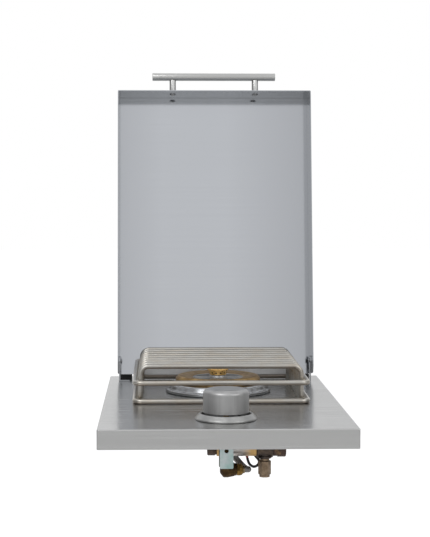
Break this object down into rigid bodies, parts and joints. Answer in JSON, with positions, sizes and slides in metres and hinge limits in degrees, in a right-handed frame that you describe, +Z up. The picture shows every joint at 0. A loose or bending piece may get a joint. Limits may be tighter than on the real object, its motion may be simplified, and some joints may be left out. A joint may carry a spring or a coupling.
{
  "type": "built in side burner",
  "caption": "Drop-in gas side burner with a brushed steel deck, an upright hinged lid, a rod grate, a brass ring burner in a drip dish and one round control knob.",
  "frame": {"origin": "middle of the front return flange's underside, where the deck rests on the counter", "axes": "+X to the right, +Y from the knob towards the lid, +Z up"},
  "size_m": [0.325, 0.5338, 0.5534],
  "materials": {
    "brushed_steel": "fine brushed stainless sheet",
    "rod_steel": "polished round stainless rod, slightly warm",
    "chrome": "mirror bright",
    "cast_aluminium": "grey casting, satin",
    "ring_brass": "satin brown brass",
    "bright_brass": "bright yellow brass",
    "aged_brass": "dull dark brass",
    "dark_fitting": "dark brown, half matt",
    "zinc": "zinc plated sheet with a pale green sheen",
    "grey_pipe": "dull warm grey",
    "black_rubber": "matt black",
    "black_plastic": "matt black",
    "porcelain": "glazed off-white",
    "spring_steel": "plain bright steel"
  },
  "bodies": {
    "deck": {"deck_panel": "brushed_steel", "hinge_bracket_left": "brushed_steel", "hinge_bracket_right": "brushed_steel", "knob_bezel": "brushed_steel", "grate_lower_ring": "rod_steel", "grate_upper_ring": "rod_steel", "grate_rod_1": "rod_steel", "grate_rod_2": "rod_steel", "grate_rod_3": "rod_steel", "grate_rod_4": "rod_steel", "grate_rod_5": "rod_steel", "grate_rod_6": "rod_steel", "grate_rod_7": "rod_steel", "grate_rod_8": "rod_steel", "grate_rod_9": "rod_steel", "drip_dish": "chrome", "outlet_sleeve": "chrome", "burner_body": "cast_aluminium", "jet_holder": "cast_aluminium", "burner_outer_ring": "ring_brass", "feed_tube_nut": "ring_brass", "burner_centre_cap": "bright_brass", "gas_jet": "bright_brass", "valve_body": "aged_brass", "outlet_nut": "aged_brass", "manifold_end_fitting": "aged_brass", "inlet_fitting": "aged_brass", "manifold_end_plug": "dark_fitting", "inlet_tee": "dark_fitting", "burner_strap": "zinc", "valve_bracket": "zinc", "feed_tube": "grey_pipe", "manifold_pipe": "grey_pipe", "lid_stop_pad_left": "black_rubber", "lid_stop_pad_right": "black_rubber", "ignition_lead": "black_rubber", "igniter_module": "black_plastic", "igniter_electrode": "porcelain", "hinge_pin_left": "spring_steel", "hinge_pin_right": "spring_steel", "strap_nut_left": "spring_steel", "strap_nut_right": "spring_steel", "igniter_tip": "spring_steel", "bezel_screw_left": "spring_steel", "bezel_screw_right": "spring_steel", "stem_spring": "spring_steel", "valve_screw_left": "spring_steel", "valve_screw_right": "spring_steel"},
    "lid": {"lid_panel": "brushed_steel", "lid_hem": "brushed_steel", "handle_bar": "brushed_steel", "handle_post_left": "brushed_steel", "handle_post_right": "brushed_steel", "handle_screw_left": "spring_steel", "handle_screw_right": "spring_steel"},
    "push_carriage": {"spring_seat": "spring_steel"},
    "control_knob": {"knob": "brushed_steel", "valve_stem": "bright_brass", "stem_clip": "spring_steel"}
  },
  "joints": [
    {"name": "lid_hinge", "type": "hinge", "parent": "deck", "child": "lid", "pos_m": [0, 0.4425, 0.056], "axis": [1, 0, 0], "range_deg": [0, 98]},
    {"name": "knob_push", "type": "slide", "parent": "deck", "child": "push_carriage", "axis": [0, 0, -1], "range_m": [0, 0.0035], "stiffness_N_per_m": 1500, "springref_m": -0.004, "deforming": ["stem_spring"]},
    {"name": "knob_turn", "type": "hinge", "parent": "push_carriage", "child": "control_knob", "pos_m": [0, 0.0698, 0.04], "axis": [0, 0, 1], "range_deg": [0, 210]}
  ]
}
